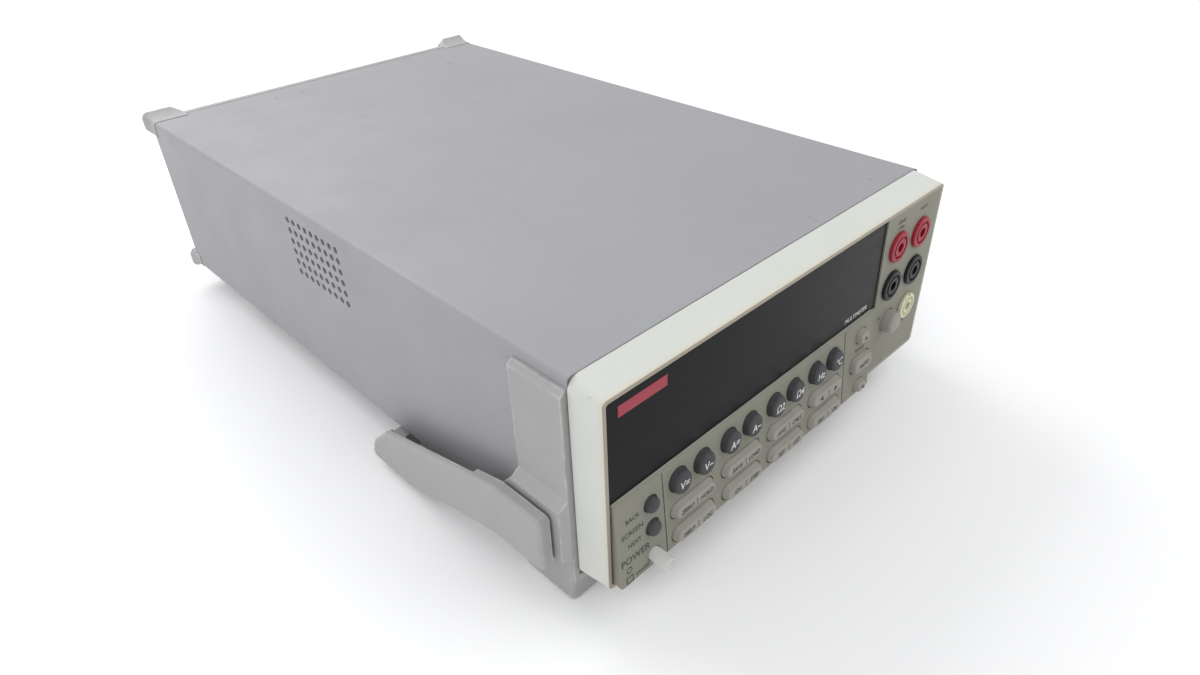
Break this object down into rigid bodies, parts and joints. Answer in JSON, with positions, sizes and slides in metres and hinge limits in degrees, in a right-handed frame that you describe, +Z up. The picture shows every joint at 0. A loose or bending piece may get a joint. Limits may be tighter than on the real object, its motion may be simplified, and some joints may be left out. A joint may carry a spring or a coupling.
{
  "type": "bench digital multimeter",
  "caption": "Half-rack bench digital multimeter: grey sleeve case, off-white bezel, dark display window, keypad, banana jacks and folding U-handle.",
  "frame": {"origin": "on the standing surface, under the middle of the overall width and length", "axes": "+Z up, front panel faces -Y, +X to the right seen from the front"},
  "size_m": [0.238, 0.37, 0.1074],
  "materials": {
    "case_paint": "matt textured paint",
    "zinc_sheet": "passivated",
    "bezel_plastic": "satin moulded",
    "panel_plastic": "fine texture",
    "smoked_window": "semi-gloss",
    "tube_glass": "clear",
    "circuit_board": "solder mask",
    "elastomer": "matt",
    "black_plastic": "satin",
    "nickel_brass": "nickel plated",
    "red_plastic": "semi-gloss",
    "grey_plastic": "fine texture",
    "pad_rubber": "matt",
    "connector_metal": "plated",
    "core_steel": "varnished laminations",
    "winding_tape": "tape",
    "capacitor_can": "satin",
    "light_grey_plastic": "satin",
    "panel_key_plastic": "fine texture",
    "cream_plastic": "satin",
    "dark_key_plastic": "satin"
  },
  "bodies": {
    "case": {"case_cover": "case_paint", "chassis": "zinc_sheet", "front_bezel": "bezel_plastic", "key_panel": "panel_plastic", "input_panel": "panel_plastic", "display_window": "smoked_window", "display_tube": "tube_glass", "display_board": "circuit_board", "switch_pad": "elastomer", "power_switch": "black_plastic", "inputs_switch": "black_plastic", "jack_contacts": "nickel_brass", "jacks_red": "red_plastic", "jacks_black": "black_plastic", "left_ear": "grey_plastic", "right_ear": "grey_plastic", "rear_feet": "grey_plastic", "foot_pads": "pad_rubber", "rear_bezel": "grey_plastic", "rear_panel": "zinc_sheet", "mains_inlet": "black_plastic", "inlet_pins": "nickel_brass", "bus_connector": "connector_metal", "serial_connector": "connector_metal", "option_cover": "zinc_sheet", "rear_screws": "connector_metal", "main_board": "circuit_board", "transformer_core": "core_steel", "transformer_winding": "winding_tape", "filter_capacitors": "capacitor_can"},
    "handle": {"handle": "grey_plastic"},
    "key_dc_volts": {"key_dc_volts": "dark_key_plastic"},
    "key_ac_volts": {"key_ac_volts": "dark_key_plastic"},
    "key_dc_current": {"key_dc_current": "dark_key_plastic"},
    "key_ac_current": {"key_ac_current": "dark_key_plastic"},
    "key_ohms_two_wire": {"key_ohms_two_wire": "dark_key_plastic"},
    "key_ohms_four_wire": {"key_ohms_four_wire": "dark_key_plastic"},
    "key_frequency": {"key_frequency": "dark_key_plastic"},
    "key_temperature": {"key_temperature": "dark_key_plastic"},
    "key_range_up": {"key_range_up": "panel_key_plastic"},
    "key_range_auto": {"key_range_auto": "panel_key_plastic"},
    "key_range_down": {"key_range_down": "panel_key_plastic"},
    "key_side_upper": {"key_side_upper": "dark_key_plastic"},
    "key_side_lower": {"key_side_lower": "dark_key_plastic"},
    "rocker_upper_1": {"rocker_upper_1": "panel_key_plastic"},
    "rocker_upper_2": {"rocker_upper_2": "panel_key_plastic"},
    "rocker_upper_3": {"rocker_upper_3": "panel_key_plastic"},
    "rocker_upper_4": {"rocker_upper_4": "panel_key_plastic"},
    "rocker_lower_1": {"rocker_lower_1": "panel_key_plastic"},
    "rocker_lower_2": {"rocker_lower_2": "panel_key_plastic"},
    "rocker_lower_3": {"rocker_lower_3": "panel_key_plastic"},
    "rocker_lower_4": {"rocker_lower_4": "panel_key_plastic"},
    "power_push": {"power_button": "light_grey_plastic", "power_rod": "black_plastic"},
    "inputs_push": {"inputs_button": "panel_key_plastic"},
    "current_holder": {"current_jack": "cream_plastic", "current_contact": "nickel_brass", "current_fuse": "cream_plastic"},
    "fuse_tray": {"fuse_drawer": "black_plastic", "line_fuses": "tube_glass"}
  },
  "joints": [
    {"name": "handle_swing", "type": "hinge", "parent": "case", "child": "handle", "pos_m": [0, -0.14, 0.0335], "axis": [-1, 0, 0], "range_deg": [0, 270]},
    {"name": "key_dc_volts_press", "type": "slide", "parent": "case", "child": "key_dc_volts", "axis": [0, 1, 0], "range_m": [0, 0.0012], "stiffness_N_per_m": 800},
    {"name": "key_ac_volts_press", "type": "slide", "parent": "case", "child": "key_ac_volts", "axis": [0, 1, 0], "range_m": [0, 0.0012], "stiffness_N_per_m": 800},
    {"name": "key_dc_current_press", "type": "slide", "parent": "case", "child": "key_dc_current", "axis": [0, 1, 0], "range_m": [0, 0.0012], "stiffness_N_per_m": 800},
    {"name": "key_ac_current_press", "type": "slide", "parent": "case", "child": "key_ac_current", "axis": [0, 1, 0], "range_m": [0, 0.0012], "stiffness_N_per_m": 800},
    {"name": "key_ohms_two_wire_press", "type": "slide", "parent": "case", "child": "key_ohms_two_wire", "axis": [0, 1, 0], "range_m": [0, 0.0012], "stiffness_N_per_m": 800},
    {"name": "key_ohms_four_wire_press", "type": "slide", "parent": "case", "child": "key_ohms_four_wire", "axis": [0, 1, 0], "range_m": [0, 0.0012], "stiffness_N_per_m": 800},
    {"name": "key_frequency_press", "type": "slide", "parent": "case", "child": "key_frequency", "axis": [0, 1, 0], "range_m": [0, 0.0012], "stiffness_N_per_m": 800},
    {"name": "key_temperature_press", "type": "slide", "parent": "case", "child": "key_temperature", "axis": [0, 1, 0], "range_m": [0, 0.0012], "stiffness_N_per_m": 800},
    {"name": "key_range_up_press", "type": "slide", "parent": "case", "child": "key_range_up", "axis": [0, 1, 0], "range_m": [0, 0.0012], "stiffness_N_per_m": 800},
    {"name": "key_range_auto_press", "type": "slide", "parent": "case", "child": "key_range_auto", "axis": [0, 1, 0], "range_m": [0, 0.0012], "stiffness_N_per_m": 800},
    {"name": "key_range_down_press", "type": "slide", "parent": "case", "child": "key_range_down", "axis": [0, 1, 0], "range_m": [0, 0.0012], "stiffness_N_per_m": 800},
    {"name": "key_side_upper_press", "type": "slide", "parent": "case", "child": "key_side_upper", "axis": [0, 1, 0], "range_m": [0, 0.0012], "stiffness_N_per_m": 800},
    {"name": "key_side_lower_press", "type": "slide", "parent": "case", "child": "key_side_lower", "axis": [0, 1, 0], "range_m": [0, 0.0012], "stiffness_N_per_m": 800},
    {"name": "rocker_upper_1_tip", "type": "hinge", "parent": "case", "child": "rocker_upper_1", "pos_m": [-0.0656, -0.172, 0.0359], "axis": [0, 0, 1], "range_deg": [-3, 3], "stiffness_Nm_per_rad": 0.2},
    {"name": "rocker_upper_2_tip", "type": "hinge", "parent": "case", "child": "rocker_upper_2", "pos_m": [-0.0371, -0.172, 0.0359], "axis": [0, 0, 1], "range_deg": [-3, 3], "stiffness_Nm_per_rad": 0.2},
    {"name": "rocker_upper_3_tip", "type": "hinge", "parent": "case", "child": "rocker_upper_3", "pos_m": [-0.0086, -0.172, 0.0359], "axis": [0, 0, 1], "range_deg": [-3, 3], "stiffness_Nm_per_rad": 0.2},
    {"name": "rocker_upper_4_tip", "type": "hinge", "parent": "case", "child": "rocker_upper_4", "pos_m": [0.0199, -0.172, 0.0359], "axis": [0, 0, 1], "range_deg": [-3, 3], "stiffness_Nm_per_rad": 0.2},
    {"name": "rocker_lower_1_tip", "type": "hinge", "parent": "case", "child": "rocker_lower_1", "pos_m": [-0.0656, -0.172, 0.025], "axis": [0, 0, 1], "range_deg": [-3, 3], "stiffness_Nm_per_rad": 0.2},
    {"name": "rocker_lower_2_tip", "type": "hinge", "parent": "case", "child": "rocker_lower_2", "pos_m": [-0.0371, -0.172, 0.025], "axis": [0, 0, 1], "range_deg": [-3, 3], "stiffness_Nm_per_rad": 0.2},
    {"name": "rocker_lower_3_tip", "type": "hinge", "parent": "case", "child": "rocker_lower_3", "pos_m": [-0.0086, -0.172, 0.025], "axis": [0, 0, 1], "range_deg": [-3, 3], "stiffness_Nm_per_rad": 0.2},
    {"name": "rocker_lower_4_tip", "type": "hinge", "parent": "case", "child": "rocker_lower_4", "pos_m": [0.0199, -0.172, 0.025], "axis": [0, 0, 1], "range_deg": [-3, 3], "stiffness_Nm_per_rad": 0.2},
    {"name": "power_press", "type": "slide", "parent": "case", "child": "power_push", "axis": [0, 1, 0], "range_m": [0, 0.004], "stiffness_N_per_m": 250},
    {"name": "inputs_press", "type": "slide", "parent": "case", "child": "inputs_push", "axis": [0, 1, 0], "range_m": [0, 0.003], "stiffness_N_per_m": 300},
    {"name": "current_jack_turn", "type": "hinge", "parent": "case", "child": "current_holder", "pos_m": [0.08995, -0.173, 0.0451], "axis": [0, -1, 0], "range_deg": [0, 90]},
    {"name": "fuse_drawer_slide", "type": "slide", "parent": "case", "child": "fuse_tray", "axis": [0, 1, 0], "range_m": [0, 0.02]}
  ]
}
